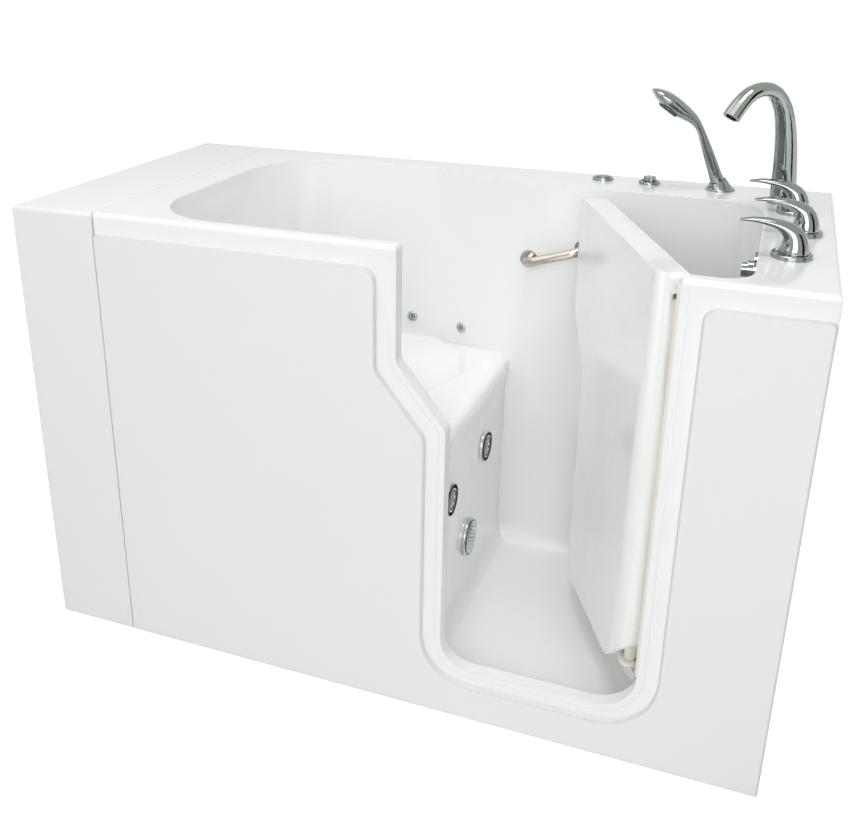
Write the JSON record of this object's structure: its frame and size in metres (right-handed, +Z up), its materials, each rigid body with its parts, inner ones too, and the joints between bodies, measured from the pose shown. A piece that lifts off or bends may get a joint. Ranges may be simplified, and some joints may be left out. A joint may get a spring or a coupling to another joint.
{
  "type": "walk-in bathtub",
  "caption": "Walk-in bathtub with a moulded seat, an inward-swinging side door, deck taps with spout and hand shower, and a water-jet system.",
  "frame": {"origin": "on the floor, below the centre of the footprint", "axes": "+X along the tub towards the tap end, +Y from the door side to the back, +Z up"},
  "size_m": [1.524, 0.74, 1.203],
  "materials": {
    "acrylic": "gloss white",
    "frame_steel": "zinc-plated",
    "foot_rubber": "matte black",
    "seal": "soft cream",
    "hinge_white": "gloss cream",
    "nickel": "satin nickel",
    "chrome": "polished",
    "nozzle_dark": "satin grey",
    "pump_dark": "matte black",
    "pipe_plastic": "satin grey-white"
  },
  "bodies": {
    "tub": {"tub_shell": "acrylic", "front_panel": "acrylic", "end_panel": "acrylic", "filler_box": "acrylic", "filler_straps": "frame_steel", "base_rails": "frame_steel", "base_bearers": "frame_steel", "uprights": "frame_steel", "levelling_feet": "foot_rubber", "door_seal": "seal", "pivot_bracket_top": "hinge_white", "pivot_bracket_bottom": "hinge_white", "bracket_screws": "frame_steel", "latch_keeper": "frame_steel", "grab_bar": "nickel", "grab_bar_flanges": "nickel", "rear_jets": "chrome", "jet_bodies": "chrome", "suction_body": "pipe_plastic", "suction_cover": "chrome", "jet_pump": "pump_dark", "pump_cradle": "frame_steel", "suction_pipe": "pipe_plastic", "jet_manifold": "pipe_plastic", "rear_jet_line": "pipe_plastic", "valve_bodies": "frame_steel", "lever_flanges": "chrome", "spout": "chrome", "spout_shank": "frame_steel", "shower_holder": "chrome", "air_button_base": "chrome", "air_knob_base": "chrome", "overflow_plate": "chrome", "overflow_body": "pipe_plastic", "drain_body": "chrome", "waste_pipe": "pipe_plastic"},
    "door": {"door_shell": "acrylic", "door_liner": "acrylic", "door_pins": "frame_steel", "latch_rose": "chrome"},
    "door_latch": {"latch_handle": "chrome"},
    "front_lever": {"lever_front": "chrome"},
    "middle_lever": {"lever_middle": "chrome"},
    "rear_lever": {"lever_rear": "chrome"},
    "shower_wand": {"hand_shower": "chrome", "spray_face": "nozzle_dark"},
    "air_push": {"air_button": "chrome"},
    "air_dial": {"air_knob": "chrome"},
    "overflow_dial": {"overflow_knob": "chrome"},
    "plug": {"drain_plug": "chrome"},
    "nozzle_rear": {"jet_nozzle_rear": "nozzle_dark"},
    "nozzle_front": {"jet_nozzle_front": "nozzle_dark"}
  },
  "joints": [
    {"name": "door_swing", "type": "hinge", "parent": "tub", "child": "door", "pos_m": [0.506, -0.297, 0.5], "axis": [0, 0, 1], "range_deg": [0, 65.5]},
    {"name": "latch_turn", "type": "hinge", "parent": "door", "child": "door_latch", "pos_m": [0.34655, 0.09629, 0.79], "axis": [-0.91, -0.4147, 0], "range_deg": [0, 90]},
    {"name": "front_lever_turn", "type": "hinge", "parent": "tub", "child": "front_lever", "pos_m": [0.685, -0.17, 0.96], "axis": [0, 0, 1], "range_deg": [0, 90]},
    {"name": "middle_lever_turn", "type": "hinge", "parent": "tub", "child": "middle_lever", "pos_m": [0.702, -0.01, 0.96], "axis": [0, 0, 1], "range_deg": [-45, 45]},
    {"name": "rear_lever_turn", "type": "hinge", "parent": "tub", "child": "rear_lever", "pos_m": [0.685, 0.15, 0.96], "axis": [0, 0, 1], "range_deg": [0, 90]},
    {"name": "shower_lift", "type": "slide", "parent": "tub", "child": "shower_wand", "axis": [-0.3777, -0.1375, 0.9157], "range_m": [0, 0.12]},
    {"name": "air_button_press", "type": "slide", "parent": "tub", "child": "air_push", "axis": [0, 0, -1], "range_m": [0, 0.003], "stiffness_N_per_m": 1500, "springref_m": -0.002},
    {"name": "air_knob_turn", "type": "hinge", "parent": "tub", "child": "air_dial", "pos_m": [0.387, 0.31, 0.96], "axis": [0, 0, 1], "range_deg": [0, 180]},
    {"name": "overflow_knob_turn", "type": "hinge", "parent": "tub", "child": "overflow_dial", "pos_m": [0.62, -0.12, 0.915], "axis": [1, 0, 0], "range_deg": [0, 90]},
    {"name": "plug_lift", "type": "slide", "parent": "tub", "child": "plug", "axis": [0, 0, 1], "range_m": [0, 0.008]},
    {"name": "rear_nozzle_turn", "type": "hinge", "parent": "tub", "child": "nozzle_rear", "pos_m": [0.11, 0.06, 0.386], "axis": [1, 0, 0], "range_deg": [0, 90]},
    {"name": "front_nozzle_turn", "type": "hinge", "parent": "tub", "child": "nozzle_front", "pos_m": [0.11, -0.195, 0.386], "axis": [1, 0, 0], "range_deg": [0, 90]}
  ],
  "couplings": [
    {"joint": "overflow_knob_turn", "follows": "plug_lift", "rad_per_m": 196.35}
  ]
}
